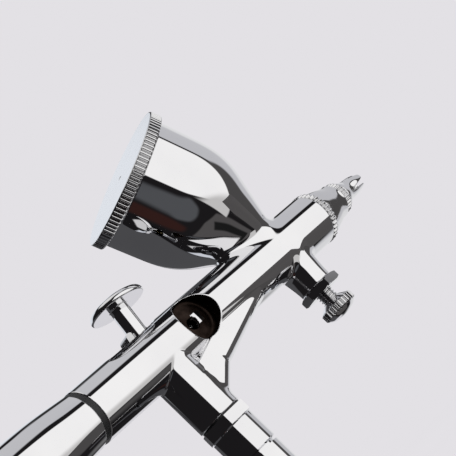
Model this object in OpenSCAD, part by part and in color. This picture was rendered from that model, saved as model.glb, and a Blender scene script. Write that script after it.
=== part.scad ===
// Double-action airbrush gun: gravity cup on a slim chromed body, side feed socket,
// trigger over an air valve, air adjusting screw under the nose, crown needle cap.
// The needle axis runs along +X (spray direction), +Z is up, +Y is the left hand side.
// The origin is the middle of the hose connector's bottom face.

/* [Body] */
// Radius of the body tube
tube_r = 6; // [5.9:0.05:6.2]
// Needle axis height above the hose connector's bottom face
axis_h = 34; // [33.5:0.5:38]
// Front face of the body tube, ahead of the air valve axis
tube_front = 55; // [55:0.5:55.5]
// Rear face of the body tube
tube_back = -22; // [-23:0.5:-22]
// Radius of the rear bore that the needle guide slides in
guide_bore_r = 4.4; // [4.38:0.01:4.42]
// Radius of the paint passage
paint_r = 1.5; // [1.3:0.05:1.6]
// Radius of the side feed socket
port_r = 4.9; // [4.6:0.05:5]
// Side feed socket axis, ahead of the air valve axis
port_x = 10.45; // [10.4:0.05:10.8]
// Radius of the air valve boss
boss_r = 5.1; // [5:0.05:5.4]

/* [Cup] */
// Lean of the cup's axis towards the rear, in degrees
cup_lean = 26; // [25:0.5:27]
// Where the cup's axis meets the needle axis
cup_x = 42.9; // [42.7:0.1:43.1]
// Outer radius of the cup at its mouth
cup_r = 14; // [13.9:0.05:14.2]
// Cup wall thickness
cup_wall = 0.9; // [0.8:0.05:1]
// Distance of the cup's mouth from the needle axis
cup_top = 34.5; // [34:0.5:36]
// Outer radius of the lid
lid_r = 15.2; // [15:0.05:15.6]

/* [Trigger] */
// Trigger stem radius
stem_r = 2.05; // [2:0.01:2.08]
// Forward lean of the trigger at rest, in degrees
trig_lean = 9.7; // [9.5:0.1:9.9]
// Radius of the trigger's finger pad
pad_r = 6.3; // [6.2:0.1:6.5]

/* [Nose] */
// Radius over the flutes of the nozzle head's grip ring
head_r = 6.1; // [6:0.05:6.3]
// Orifice radius of the fluid nozzle
orifice_r = 0.15; // [0.14:0.01:0.2]
// Needle radius
needle_r = 0.6; // [0.58:0.01:0.6]

/* [Air supply] */
// Major radius of the hose connector's thread
inlet_r = 4.865; // [4.85:0.005:4.88]
// Air adjusting valve axis, ahead of the air valve axis
mac_x = 42.5; // [42.4:0.1:42.6]
// Radius of the air adjusting screw's knob
knob_r = 4.1; // [3.9:0.05:4.3]

/* [Handle] */
// Rear end of the tapered handle
handle_back = -84; // [-86:0.5:-84]
// Largest radius of the handle
handle_r = 6.9; // [6.6:0.1:7.2]

/* [Hidden] */
$fn = 64;
run = 0.05;
piv_x = -0.9;
piv_z = -4;
lev_x = -4.4;
lev_z = -2.95;
lev_lean = 13.16;
chrome = [0.80, 0.81, 0.83];
steel = [0.62, 0.63, 0.65];
brass = [0.80, 0.66, 0.32];
black = [0.10, 0.10, 0.11];
white = [0.92, 0.92, 0.90];

// ---- helpers ----

// a cylinder along +X from x0 to x1
module rod(r, x0, x1, r2 = -1) {
    translate([x0, 0, 0])
        rotate([0, 90, 0])
            cylinder(r1 = r, r2 = r2 < 0 ? r : r2, h = x1 - x0);
}

// a profile of [x, r] points turned about the needle axis
module turned(pts) {
    rotate([0, 90, 0])
        rotate_extrude()
            polygon([for (p = pts) [p[1], p[0]]]);
}

// a ring of round wire about the needle axis
module ring_x(x, r, w) {
    translate([x, 0, 0])
        rotate([0, 90, 0])
            rotate_extrude()
                translate([r, 0])
                    circle(r = w);
}

// shallow straight flutes cut round a cylinder along +Z
module flutes(r, z0, z1, count, cut) {
    for (i = [0 : count - 1])
        rotate([0, 0, i * 360 / count])
            translate([r, 0, z0])
                rotate([0, 0, 45])
                    translate([-cut, -cut, 0])
                        cube([2 * cut, 2 * cut, z1 - z0]);
}

// thread crests drawn as plain rings between two heights on +Z
module thread(r, z0, z1, pitch, depth) {
    n = floor((z1 - z0) / pitch);
    rotate_extrude()
        polygon(concat(
            [[0, z0], [r - depth, z0]],
            [for (i = [0 : n - 1]) each [
                [r - depth, z0 + (i + 0.02) * pitch],
                [r, z0 + (i + 0.42) * pitch],
                [r, z0 + (i + 0.58) * pitch],
                [r - depth, z0 + (i + 0.98) * pitch]]],
            [[r - depth, z1], [0, z1]]));
}

// a coil spring along +Z built from half turns that rise on alternate sides
module coil(r, w, z0, z1, turns) {
    rise = (z1 - z0 - 2 * w) / (turns * 2);
    tilt = asin(rise / (2 * r));
    for (i = [0 : turns * 2 - 1])
        translate([0, 0, z0 + w + (i + 0.5) * rise])
            rotate([0, 0, i % 2 == 0 ? 0 : 180])
                rotate([0, -tilt, 0])
                    rotate_extrude(angle = 180)
                        translate([r, 0])
                            circle(r = w, $fn = 24);
    for (i = [0 : turns * 2])
        translate([i % 2 == 0 ? -r : r, 0, z0 + w + i * rise])
            sphere(r = w * 1.03, $fn = 24);
}

// moves a child from the cup's own axis into place over the body
module on_cup_axis() {
    translate([cup_x, 0, 0])
        rotate([0, -cup_lean, 0])
            children();
}

// moves a child onto the air adjusting valve's axis, depth measured downwards
module on_mac_axis() {
    translate([mac_x, 0, 0])
        rotate([180, 0, 0])
            children();
}

// the flat-bottomed strut section under the body, corners rounded
module strut_section(w, h, c) {
    translate([-w + c, -h + c])
        circle(r = c);
    translate([w - c, -h + c])
        circle(r = c);
    translate([-w + c, -h])
        square([2 * (w - c), h]);
    translate([-w, -h + c])
        square([2 * w, h - c]);
}

// a strut whose underside starts at [x, z] and runs up and forwards
module strut(x, z, rise, len, w) {
    translate([x, 0, z])
        rotate([0, -rise, 0])
            translate([0, 0, 6])
                rotate([90, 0, 90])
                    linear_extrude(len)
                        strut_section(w, 6, 2.6);
}

// ---- body ----

module body_shell() {
    color(chrome)
    translate([0, 0, axis_h])
    difference() {
        union() {
            rod(tube_r, tube_back, tube_front);
            rod(4.9, -28, tube_back + 1);
            // underside strut carrying the air passage
            intersection() {
                union() {
                    strut(0, -13.55, 16.4, 30, 4.55);
                    strut(0, -18.6, 38, 13, 4.55);
                }
                translate([0, -5, -17])
                    cube([28.5, 10, 18]);
            }
            // air valve boss
            translate([0, 0, -17])
                cylinder(r = boss_r, h = 16);
            // air adjusting valve boss, flared at its root
            on_mac_axis()
                rotate_extrude()
                    polygon([[0, 1], [5.2, 1], [5.0, 5], [4.75, 5.8], [4.4, 6.6], [4.2, 7.6],
                        [4.05, 8.8], [4.05, 10.6], [3.9, 11.1], [0, 11.1]]);
        }
        // rear bore for the needle guide
        rod(guide_bore_r, -30, 5);
        // packing seat, paint passage and nozzle socket
        rod(1.8, 4, 8);
        rod(paint_r, 7, 50);
        rod(4.2, 49, tube_front + 1);
        // slot for the trigger
        translate([-9, 0, 0])
            cylinder(r = 2.5, h = 8);
        translate([2.5, 0, 0])
            cylinder(r = 2.5, h = 8);
        translate([-9, -2.5, 0])
            cube([11.5, 5, 8]);
        // side feed socket on the right hand side
        translate([port_x, -2.2, 0.3])
            rotate([90, 0, 0])
                cylinder(r = port_r, h = 5);
        translate([port_x, 0, 0])
            rotate([90, 0, 0])
                cylinder(r = 1.3, h = 4);
        // cup socket
        on_cup_axis()
            cylinder(r = 3, h = 8);
        // air valve chambers
        translate([0, 0, -9.6])
            cylinder(r = 2.77, h = 9.6);
        translate([0, 0, -12])
            cylinder(r = 1.05, h = 5);
        translate([0, 0, -10.4])
            cylinder(r = 1.8, h = 0.9);
        translate([0, 0, -18])
            cylinder(r = 3.85, h = 7);
        // air passage from the valve to the nozzle socket
        translate([2.5, 0, -11.5])
            rotate([0, 90 - 18.43, 0])
                cylinder(r = 0.6, h = 25.05);
        rod_low(0.6, 26, 49.5, -3.6);
        // air adjusting valve
        on_mac_axis() {
            translate([0, 0, 2.8])
                cylinder(r = 0.95, h = 4);
            translate([0, 0, 5.2])
                cylinder(r = 2, h = 6.8);
            translate([0, 0, 8])
                cylinder(r = 2.9, h = 4);
        }
        // bore for the auxiliary lever's pin
        translate([lev_x, 5.6, lev_z])
            rotate([90, 0, 0])
                cylinder(r = 0.4, h = 10.2);
    }
}

module rod_low(r, x0, x1, z) {
    translate([0, 0, z])
        rod(r, x0, x1);
}

// ---- cup ----

module paint_cup() {
    color(chrome)
    translate([0, 0, axis_h])
    difference() {
        on_cup_axis()
            difference() {
                rotate_extrude()
                    difference() {
                        polygon([[0, 2.2], [2.98, 2.2], [2.98, 3.4], [3.9, 3.4], [5.35, 5.9],
                            [7.55, 9.4], [9.8, 13.0], [11.75, 16.2], [12.55, 18], [13.2, 20.2],
                            [13.6, 22.6], [13.8, 26], [13.95, 31], [cup_r, cup_top], [0, cup_top]]);
                        polygon([[0, 8.4], [2, 8.4], [4.45, 6.2 + 0.7], [6.5, 9.6], [8.85, 13.3],
                            [10.85, 16.6], [11.6, 18.2], [12.25, 20.4], [12.65, 22.7], [12.88, 26],
                            [cup_r - cup_wall, 31], [cup_r - cup_wall, cup_top + 1],
                            [0, cup_top + 1]]);
                    }
                cylinder(r = 2, h = 12);
            }
        // saddle that sits on the tube
        difference() {
            rod(tube_r, 20, 60);
            on_cup_axis()
                cylinder(r = 2.98, h = 12);
        }
    }
}

module cup_lid() {
    color(chrome)
    translate([0, 0, axis_h])
    on_cup_axis()
    difference() {
        union() {
            rotate_extrude()
                polygon([[0, cup_top], [lid_r - 0.35, cup_top], [lid_r, cup_top + 0.3],
                    [lid_r, cup_top + 2.3], [lid_r - 0.35, cup_top + 2.65],
                    [0, cup_top + 2.65]]);
            translate([0, 0, cup_top - 2.4])
                cylinder(r = cup_r - cup_wall - 0.06, h = 3);
        }
        translate([0, 0, cup_top - 3])
            cylinder(r = cup_r - cup_wall - 0.8, h = 4.4);
        translate([0, 0, cup_top])
            cylinder(r = 0.5, h = 4);
        flutes(lid_r, cup_top - 0.1, cup_top + 2.8, 90, 0.32);
    }
}

// ---- nose ----

module nozzle_head() {
    color(chrome)
    translate([0, 0, axis_h])
    difference() {
        turned([[50.6, 0], [50.6, 4.15], [55.05, 4.15], [55.05, head_r - 0.3],
            [55.35, head_r], [56.35, head_r], [56.65, head_r - 0.35], [56.75, 5.45],
            [58.5, 5.2], [60.5, 4.8], [62.4, 4.3], [63.4, 4.15], [64, 4.1], [64, 0]]);
        rod(paint_r, 50, 54.5);
        rod(1.75, 54, 59);
        rod(3.3, 58.4, 60.6);
        rod(2.95, 60.5, 65);
        for (a = [45 : 90 : 315])
            rotate([a, 0, 0])
                translate([0, 0, 2.85])
                    rod(0.4, 50, 59);
        translate([50.6, 0, 0])
            rotate([0, 90, 0])
                difference() {
                    translate([0, 0, -0.5])
                        cylinder(r = 3.5, h = 1.5);
                    cylinder(r = 2.3, h = 2);
                }
        rotate([0, 90, 0])
            flutes(head_r, 55, 56.7, 36, 0.36);
    }
}

module nozzle_seal() {
    color(white)
    translate([0, 0, axis_h])
    difference() {
        rod(2.25, 49, 50.6);
        rod(paint_r, 48, 51);
    }
}

module fluid_nozzle() {
    color(brass)
    translate([0, 0, axis_h])
    difference() {
        union() {
            turned([[54.5, 0], [54.5, 1.75], [58.4, 1.75], [58.4, 1.7], [59.8, 1.7], [60, 1.6],
                [66.8, 0.62], [68, 0.36], [68, 0]]);
            translate([58.4, 0, 0])
                rotate([0, 90, 0])
                    cylinder(r = 2.3, h = 1.3, $fn = 6);
        }
        turned([[54, 0], [54, 1.15], [59.5, 1.15], [60.5, 0.86], [67, 0.32], [67.6, orifice_r],
            [68.5, orifice_r], [68.5, 0]]);
    }
}

module air_cap() {
    color(chrome)
    translate([0, 0, axis_h])
    difference() {
        turned([[61, 0], [61, 2.92], [64, 2.92], [64, 3.55], [64.25, 3.8], [65.75, 3.8],
            [66, 3.5], [66, 2.5], [66.95, 2.5], [67.3, 1.55], [68.2, 1.2], [68.3, 0]]);
        turned([[60, 0], [60, 2.5], [63.6, 2.5], [67.5, 0.95], [67.9, 0.62], [69, 0.62], [69, 0]]);
        rotate([0, 90, 0])
            flutes(3.8, 63.9, 66.1, 30, 0.24);
    }
}

module crown_cap() {
    color(chrome)
    translate([0, 0, axis_h])
    difference() {
        turned([[66.02, 0], [66.02, 3.0], [66.25, 3.15], [67.0, 3.1], [67.6, 2.9], [68.3, 2.6],
            [69.3, 2.38], [71.5, 2.2], [73.3, 1.95], [74.2, 1.75], [74.5, 1.5], [74.5, 0]]);
        turned([[65, 0], [65, 2.53], [67.1, 2.53], [68.0, 1.7], [76, 1.15], [76, 0]]);
        // four tapering notches leave four prongs
        for (a = [30, 120])
            rotate([a, 0, 0])
                rotate([90, 0, 0])
                    translate([0, 0, -5])
                        linear_extrude(10)
                            polygon([[68.6, 0.16], [69.2, 0.24], [76, 0.85], [76, -0.85],
                                [69.2, -0.24], [68.6, -0.16]]);
    }
}

module needle() {
    color(steel)
    translate([0, 0, axis_h])
    turned([[-71.6, 0], [-72, 0.35], [-71.6, needle_r], [58.2, needle_r], [70.4, 0.03],
        [70.6, 0]]);
}

module needle_packing() {
    color(white)
    translate([0, 0, axis_h])
    difference() {
        rod(1.78, 6.6, 8);
        rod(needle_r + 0.02, 6, 9);
    }
}

module packing_screw() {
    color(brass)
    translate([0, 0, axis_h])
    difference() {
        union() {
            rod(2.5, 3.9, 5);
            rod(1.78, 5, 6.6);
        }
        rod(needle_r + 0.15, 3, 7);
        translate([3.5, -0.3, -3])
            cube([0.9, 0.6, 6]);
    }
}

// ---- trigger ----

module trigger() {
    color(chrome)
    translate([piv_x, 0, axis_h + piv_z])
    rotate([0, trig_lean, 0])
    difference() {
        union() {
            // heel between the plunger's ears
            rotate([90, 0, 0])
                translate([0, 0, -1.1])
                    cylinder(r = 1.5, h = 2.2);
            translate([-1.3, -1.1, 0])
                cube([2.6, 2.2, 2.3]);
            // stem, collar and domed finger pad
            rotate_extrude()
                polygon([[0, 2], [1.25, 2], [1.6, 2.5], [1.6, 3.3], [stem_r, 3.9],
                    [stem_r, 16.5], [5.7, 16.6], [6.1, 16.75], [pad_r, 17.15],
                    [6.2, 17.6], [5.9, 17.95], [5.3, 18.25], [4.3, 18.55], [3.0, 18.8],
                    [1.6, 18.93], [0, 18.95]]);
        }
        // window that the needle passes through
        translate([-4, -0.78, 3.05])
            cube([8, 1.56, 4.4]);
        // pin bore
        rotate([90, 0, 0])
            translate([0, 0, -3])
                cylinder(r = 0.65, h = 6);
    }
}

module trigger_pin() {
    color(steel)
    translate([piv_x, 2.3, axis_h + piv_z])
        rotate([90, 0, 0])
            cylinder(r = 0.6, h = 4.6);
}

module auxiliary_lever() {
    color(steel)
    translate([lev_x, 0, axis_h + lev_z])
    rotate([0, lev_lean, 0])
    difference() {
        union() {
            translate([0, 1.7, 0])
                rotate([90, 0, 0])
                    cylinder(r = 0.85, h = 3.4);
            translate([0, 1.7, 9.3])
                rotate([90, 0, 0])
                    cylinder(r = 1, h = 3.4);
            translate([-1, -1.7, 0.3])
                cube([2, 3.4, 9]);
            // cam that pushes the needle guide
            translate([-0.6, 1.7, 5.5])
                rotate([90, 0, 0])
                    cylinder(r = 1.6, h = 3.4);
        }
        // front face stands back so that the pressed trigger clears it
        translate([0.5, -3, 0.6])
            cube([3, 6, 7.6]);
        translate([0.6, -3, 8.1])
            cube([3, 6, 4]);
        translate([0.76, -3, -1])
            cube([3, 6, 2]);
        // window that the needle passes through
        translate([-4, -0.75, 1.8])
            cube([8, 1.5, 2.7]);
        translate([0, 3, 0])
            rotate([90, 0, 0])
                cylinder(r = 0.45, h = 6);
    }
}

module lever_pin() {
    color(steel)
    translate([lev_x, 4.9, axis_h + lev_z])
        rotate([90, 0, 0])
            cylinder(r = 0.4, h = 9.4);
}

// ---- needle carriage ----

module needle_guide() {
    color(chrome)
    translate([0, 0, axis_h])
    difference() {
        turned([[-58, 0], [-58, 1.45], [-57.7, 1.6], [-21, 1.6], [-21, 3.3], [-7, 3.3],
            [-6.9, 4.3], [-5.63, 4.34], [-5.43, 4.1], [-5.43, 0]]);
        rod(needle_r + 0.02, -59, -5);
    }
}

module needle_spring() {
    color(steel)
    translate([-21.05, 0, axis_h])
        rotate([0, -90, 0])
            coil(2.35, 0.32, 0, 20.9, 9);
}

module spring_case() {
    color(chrome)
    translate([0, 0, axis_h])
    difference() {
        union() {
            turned([[-44, 0], [-44, 3.9], [-43.6, 4.3], [-33, 4.3], [-33, 4.36], [-24.5, 4.36],
                [-24.5, 0]]);
            translate([-33, 0, 0])
                rotate([0, -90, 0])
                    cylinder(r = 4.85, h = 3.5, $fn = 6);
        }
        rod(3.4, -42, -24);
        rod(1.68, -45, -41);
    }
}

module needle_chuck_nut() {
    color(chrome)
    translate([0, 0, axis_h])
    difference() {
        turned([[-63, 0], [-63, 1.4], [-62, 2.2], [-61, 3.2], [-60.6, 3.4], [-54.4, 3.4],
            [-54, 3.0], [-54, 0]]);
        rod(1.6, -59, -53);
        rod(needle_r + 0.02, -64, -58);
        translate([-63, 0, 0])
            rotate([0, 90, 0])
                flutes(3.4, 2.9, 8.1, 24, 0.22);
    }
}

// ---- handle ----

module handle() {
    color(chrome)
    translate([0, 0, axis_h])
    difference() {
        turned([[handle_back, 0], [handle_back, 3.2], [handle_back + 0.5, 3.6],
            [-76, 4.35], [-68, 5.15], [-60, 5.9], [-52, 6.5], [-46, 6.8], [-41, handle_r],
            [-36, 6.85], [-31, 6.6], [-27, 6.25], [-23.4, tube_r], [-23.4, 0]]);
        rod(4.95, -52, -22);
        rod(4.95, -60, -51.9);
        rod(3.9, -66, -59.9);
        rod(2.5, -79, -65.9);
        rod(1.55, handle_back - 1, -78);
        translate([handle_back, 0, 0])
            rod(2.3, -1, 2.4);
    }
}

module handle_seal() {
    color(black)
    translate([0, 0, axis_h])
    difference() {
        rod(5.85, -23.4, tube_back);
        rod(4.9, -24, -21);
    }
}

module stop_screw() {
    color(chrome)
    translate([0, 0, axis_h])
    difference() {
        union() {
            turned([[-90.4, 0], [-90.4, 3.1], [-90.0, 3.5], [-86.8, 3.5], [-86.4, 3.2],
                [-86.4, 1.5], [-76.6, 1.5], [-76.5, 1.2], [-76.5, 0]]);
        }
        translate([-90.4, 0, 0])
            rotate([0, 90, 0])
                flutes(3.5, -0.1, 4.1, 28, 0.24);
        ring_x(-84.55, 1.75, 0.42);
    }
}

module stop_o_ring() {
    color(black)
    translate([0, 0, axis_h])
        ring_x(-84.55, 1.78, 0.36);
}

// ---- air valve ----

module air_valve_casing() {
    color(chrome)
    translate([0, 0, axis_h])
    difference() {
        union() {
            translate([0, 0, -17.8])
                cylinder(r = 3.85, h = 5.4);
            translate([0, 0, -19.8])
                cylinder(r = 5.75, h = 2.4, $fn = 6);
            rotate_extrude()
                polygon([[0, -27.5], [4.2, -27.5], [4.2, -26.9], [5, -26.6], [5, -20.1],
                    [4.8, -19.8], [0, -19.8]]);
            translate([0, 0, -34])
                cylinder(r = inlet_r, h = 6.6);
        }
        translate([0, 0, -35])
            cylinder(r = 2.6, h = 17.4);
        translate([0, 0, -18])
            cylinder(r = 1.45, h = 6);
        translate([0, 0, -14.5])
            cylinder(r = 2.2, h = 3);
    }
}

module casing_seal() {
    color(black)
    translate([0, 0, axis_h])
    difference() {
        translate([0, 0, -17.4])
            cylinder(r = 4.8, h = 0.4);
        translate([0, 0, -18])
            cylinder(r = 3.85, h = 2);
    }
}

module valve_plunger() {
    color(brass)
    translate([0, 0, axis_h])
    difference() {
        union() {
            translate([0, 0, -6.8])
                cylinder(r = 2.7, h = 4.15);
            translate([0, 0, -19])
                cylinder(r = 1, h = 13);
            translate([0, 0, -19.7])
                cylinder(r = 2.1, h = 1.15);
        }
        // slot for the trigger's heel
        translate([-4, -1.15, -5.65])
            cube([8, 2.3, 4]);
        // pin bore
        translate([piv_x, 3, piv_z])
            rotate([90, 0, 0])
                cylinder(r = 0.6, h = 6);
    }
}

module plunger_o_ring() {
    color(black)
    translate([0, 0, axis_h - 9.95])
        rotate_extrude()
            translate([1.42, 0])
                circle(r = 0.36);
}

module valve_o_ring() {
    color(black)
    translate([0, 0, axis_h - 18.12])
        rotate_extrude()
            translate([1.43, 0])
                circle(r = 0.42);
}

module valve_spring() {
    color(steel)
    translate([0, 0, axis_h - 27.4])
        coil(1.75, 0.25, 0, 7.65, 5);
}

module valve_guide_screw() {
    color(brass)
    translate([0, 0, axis_h])
    difference() {
        translate([0, 0, -30])
            cylinder(r = 2.6, h = 2.58);
        for (a = [0 : 120 : 240])
            rotate([0, 0, a])
                translate([1.5, 0, -31])
                    cylinder(r = 0.55, h = 4);
        translate([-3, -0.35, -30.5])
            cube([6, 0.7, 1.2]);
    }
}

// ---- air adjusting valve ----

module mac_nut() {
    color(chrome)
    translate([0, 0, axis_h])
    on_mac_axis()
    difference() {
        union() {
            translate([0, 0, 8.6])
                cylinder(r = 2.9, h = 3);
            rotate([0, 0, 46])
                intersection() {
                    translate([0, 0, 11.15])
                        cylinder(r = 4.95, h = 1.9, $fn = 6);
                    rotate_extrude()
                        polygon([[0, 11.15], [4.4, 11.15], [4.95, 11.45], [4.95, 12.75],
                            [4.4, 13.05], [0, 13.05]]);
                }
        }
        translate([0, 0, 8])
            cylinder(r = 2.05, h = 6);
    }
}

module mac_screw() {
    color(chrome)
    translate([0, 0, axis_h])
    on_mac_axis()
    difference() {
        union() {
            rotate_extrude()
                polygon([[0, 5.0], [0.6, 5.0], [0.9, 5.3], [0.9, 7.0], [1.5, 7.4], [1.5, 9.2],
                    [1.6, 9.5], [0, 9.5]]);
            translate([0, 0, 9.4])
                thread(2, 0, 6.3, 0.7, 0.38);
            rotate_extrude()
                polygon([[0, 15.3], [2.1, 15.3], [2.5, 15.55], [4.0, 16.5], [knob_r, 16.65],
                    [knob_r, 17.95], [3.75, 18.3], [3.1, 18.8], [2.2, 19.2], [1.1, 19.4],
                    [0, 19.45]]);
        }
        flutes(knob_r, 16.4, 18.35, 26, 0.34);
        translate([0, 0, 8.1])
            rotate_extrude()
                translate([1.62, 0])
                    circle(r = 0.37);
    }
}

module mac_o_ring() {
    color(black)
    translate([0, 0, axis_h])
    on_mac_axis()
        translate([0, 0, 8.1])
            rotate_extrude()
                translate([1.62, 0])
                    circle(r = 0.32);
}

body_shell();
paint_cup();
cup_lid();
nozzle_head();
nozzle_seal();
fluid_nozzle();
air_cap();
crown_cap();
needle();
needle_packing();
packing_screw();
trigger();
trigger_pin();
auxiliary_lever();
lever_pin();
needle_guide();
needle_spring();
spring_case();
needle_chuck_nut();
handle();
handle_seal();
stop_screw();
stop_o_ring();
air_valve_casing();
casing_seal();
valve_plunger();
plunger_o_ring();
valve_o_ring();
valve_spring();
valve_guide_screw();
mac_nut();
mac_screw();
mac_o_ring();
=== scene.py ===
"""Chromed double-action airbrush gun on a plain pale studio ground."""
import math

import bpy
import numpy as np
from mathutils import Matrix, Vector


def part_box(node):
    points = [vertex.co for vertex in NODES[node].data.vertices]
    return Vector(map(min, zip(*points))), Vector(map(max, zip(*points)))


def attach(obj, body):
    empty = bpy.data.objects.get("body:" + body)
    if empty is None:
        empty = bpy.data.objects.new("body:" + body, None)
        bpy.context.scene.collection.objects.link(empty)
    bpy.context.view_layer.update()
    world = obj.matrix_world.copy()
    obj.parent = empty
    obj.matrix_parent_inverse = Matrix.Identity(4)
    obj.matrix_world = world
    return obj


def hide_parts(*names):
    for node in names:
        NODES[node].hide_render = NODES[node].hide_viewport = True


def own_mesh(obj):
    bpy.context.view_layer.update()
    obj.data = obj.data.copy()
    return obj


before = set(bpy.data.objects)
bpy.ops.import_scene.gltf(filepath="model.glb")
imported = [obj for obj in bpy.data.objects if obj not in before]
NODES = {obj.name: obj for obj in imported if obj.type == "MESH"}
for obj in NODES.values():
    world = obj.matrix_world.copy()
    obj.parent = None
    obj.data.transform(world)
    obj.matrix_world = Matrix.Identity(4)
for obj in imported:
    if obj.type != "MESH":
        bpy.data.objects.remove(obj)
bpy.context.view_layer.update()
MM = 0.001

# Every length below is in millimetres from the point where the needle's axis crosses the
# air valve's axis, +X forward, +Z up. AXIS is that point in the frame, in metres.
needle_low, needle_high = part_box("needle")
AXIS = Vector((0, 0, (needle_low[2] + needle_high[2]) / 2))

TUBE_R = 6.0
TUBE_FRONT, TUBE_BACK = 55.0, -22.0
SPIGOT_R, SPIGOT_BACK = 4.9, -28.0  # the handle screws on here
BOSS_R = 5.1
STRUT_HALF = 4.55
# strut's underside: a shallow run, then a steeper root, each as (x, z, rise in degrees)
STRUT_RUNS = ((28.0, -5.35, 16.4), (9.6, -10.75, 38.0))
CUP_X, CUP_LEAN = 42.9, math.radians(26)
CUP_TOP, CUP_WALL = 34.5, 1.02
CUP_THROAT_R = 2.0
LID_R, LID_TOP = 15.2, 37.15
MAC_X, MAC_BORE_R = 42.5, 2.9
REAR_BORE_R, REAR_BORE_FRONT = 4.4, 5.0
NEEDLE_BORE_R = 1.5
HEAD_BORE_R, HEAD_BORE_BACK = 4.2, 49.0
SLOT_BACK, SLOT_FRONT, SLOT_HALF = -9.0, 2.5, 2.5
VALVE_BORE_R, CASING_BORE_R = 2.77, 3.85
PORT_X, PORT_Z, PORT_R = 10.45, 0.3, 4.9
PORT_FLOOR, FEED_R = -2.2, 1.3
LAND_X, LAND_Z = (0.3, 2.9), (-1.1, 1.25)  # polished land beside the feed hole
CROWN_BACK, CROWN_FRONT = 66.03, 74.49
CROWN_TURN = math.radians(30)
TRIGGER_PIVOT = (-0.9, -4.0)
TRIGGER_LEAN = math.radians(9.7)
STEM_R, FOOT_R, FOOT_HALF = 2.05, 1.5, 1.1
PIN_BORE_R = 0.65
PAD_R, PAD_UNDER = 6.3, 16.58
RING_R = 6.1  # grip ring of the nozzle head
AIR_CAP_R = 3.8
KNOB_R, SCREW_R, SCREW_PITCH = 4.1, 1.99, 0.7
STOP_R = 3.5
FLUTE_FACETS = 14  # segments round a turned piece for each of its grooves
FLUTE_STEP = 0.12  # longest step of a profile where grooves cross it


# ------------------------------------------------------------------ materials


def material(name):
    mat = bpy.data.materials.new(name)
    mat.use_nodes = True
    nodes = mat.node_tree.nodes
    return mat, nodes, mat.node_tree.links, nodes["Principled BSDF"]


def noise(nodes, links, scale, detail=3.0, stretch=None):
    """Noise over object coordinates in metres; stretch scales each axis."""
    coord = nodes.new("ShaderNodeTexCoord")
    tex = nodes.new("ShaderNodeTexNoise")
    tex.inputs["Scale"].default_value = scale
    tex.inputs["Detail"].default_value = detail
    if stretch:
        mapping = nodes.new("ShaderNodeMapping")
        mapping.inputs["Scale"].default_value = stretch
        links.new(coord.outputs["Object"], mapping.inputs["Vector"])
        links.new(mapping.outputs["Vector"], tex.inputs["Vector"])
    else:
        links.new(coord.outputs["Object"], tex.inputs["Vector"])
    return tex.outputs["Fac"]


def ranged(nodes, links, source, low, high, start=0.3, end=0.7):
    node = nodes.new("ShaderNodeMapRange")
    node.inputs["From Min"].default_value = start
    node.inputs["From Max"].default_value = end
    node.inputs["To Min"].default_value = low
    node.inputs["To Max"].default_value = high
    links.new(source, node.inputs["Value"])
    return node.outputs["Result"]


def tinted(nodes, links, source, dark, light):
    mix = nodes.new("ShaderNodeMix")
    mix.data_type = "RGBA"
    mix.inputs["A"].default_value = (*dark, 1)
    mix.inputs["B"].default_value = (*light, 1)
    links.new(source, mix.inputs["Factor"])
    return mix.outputs["Result"]


def bump(nodes, links, source, strength, distance):
    node = nodes.new("ShaderNodeBump")
    node.inputs["Strength"].default_value = strength
    node.inputs["Distance"].default_value = distance
    links.new(source, node.inputs["Height"])
    return node.outputs["Normal"]


def metal(name, dark, light, rough, cloud=90.0, grain=None, grain_depth=0.0, groove_shade_and_dirt=0.0):
    """Plated or machined metal: clouded tint, handled patches, fine grain, and painted shade
    with dirt darkening the grooves.
    """
    mat, nodes, links, shader = material(name)
    shader.inputs["Metallic"].default_value = 1.0
    clouds = noise(nodes, links, cloud, 4.0)
    colour = tinted(nodes, links, ranged(nodes, links, clouds, 0, 1), dark, light)
    if groove_shade_and_dirt:
        # painted shade and dirt held in the bottoms of grooves: ambient occlusion darkens the
        # base colour
        shade = nodes.new("ShaderNodeAmbientOcclusion")
        shade.samples = 6
        shade.inputs["Distance"].default_value = 0.0009
        lit = ranged(nodes, links, shade.outputs["AO"], 1 - groove_shade_and_dirt, 1.0, 0.25, 0.85)
        mix = nodes.new("ShaderNodeMix")
        mix.data_type = "RGBA"
        mix.blend_type = "MULTIPLY"
        mix.inputs["Factor"].default_value = 1.0
        links.new(colour, mix.inputs["A"])
        links.new(lit, mix.inputs["B"])
        colour = mix.outputs["Result"]
    links.new(colour, shader.inputs["Base Color"])
    smear = noise(nodes, links, cloud * 3.1, 5.0)
    links.new(ranged(nodes, links, smear, rough[0], rough[1]), shader.inputs["Roughness"])
    if grain:
        lines = noise(nodes, links, 900.0, 4.0, grain)
        links.new(bump(nodes, links, lines, 0.35, grain_depth), shader.inputs["Normal"])
    return mat


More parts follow.
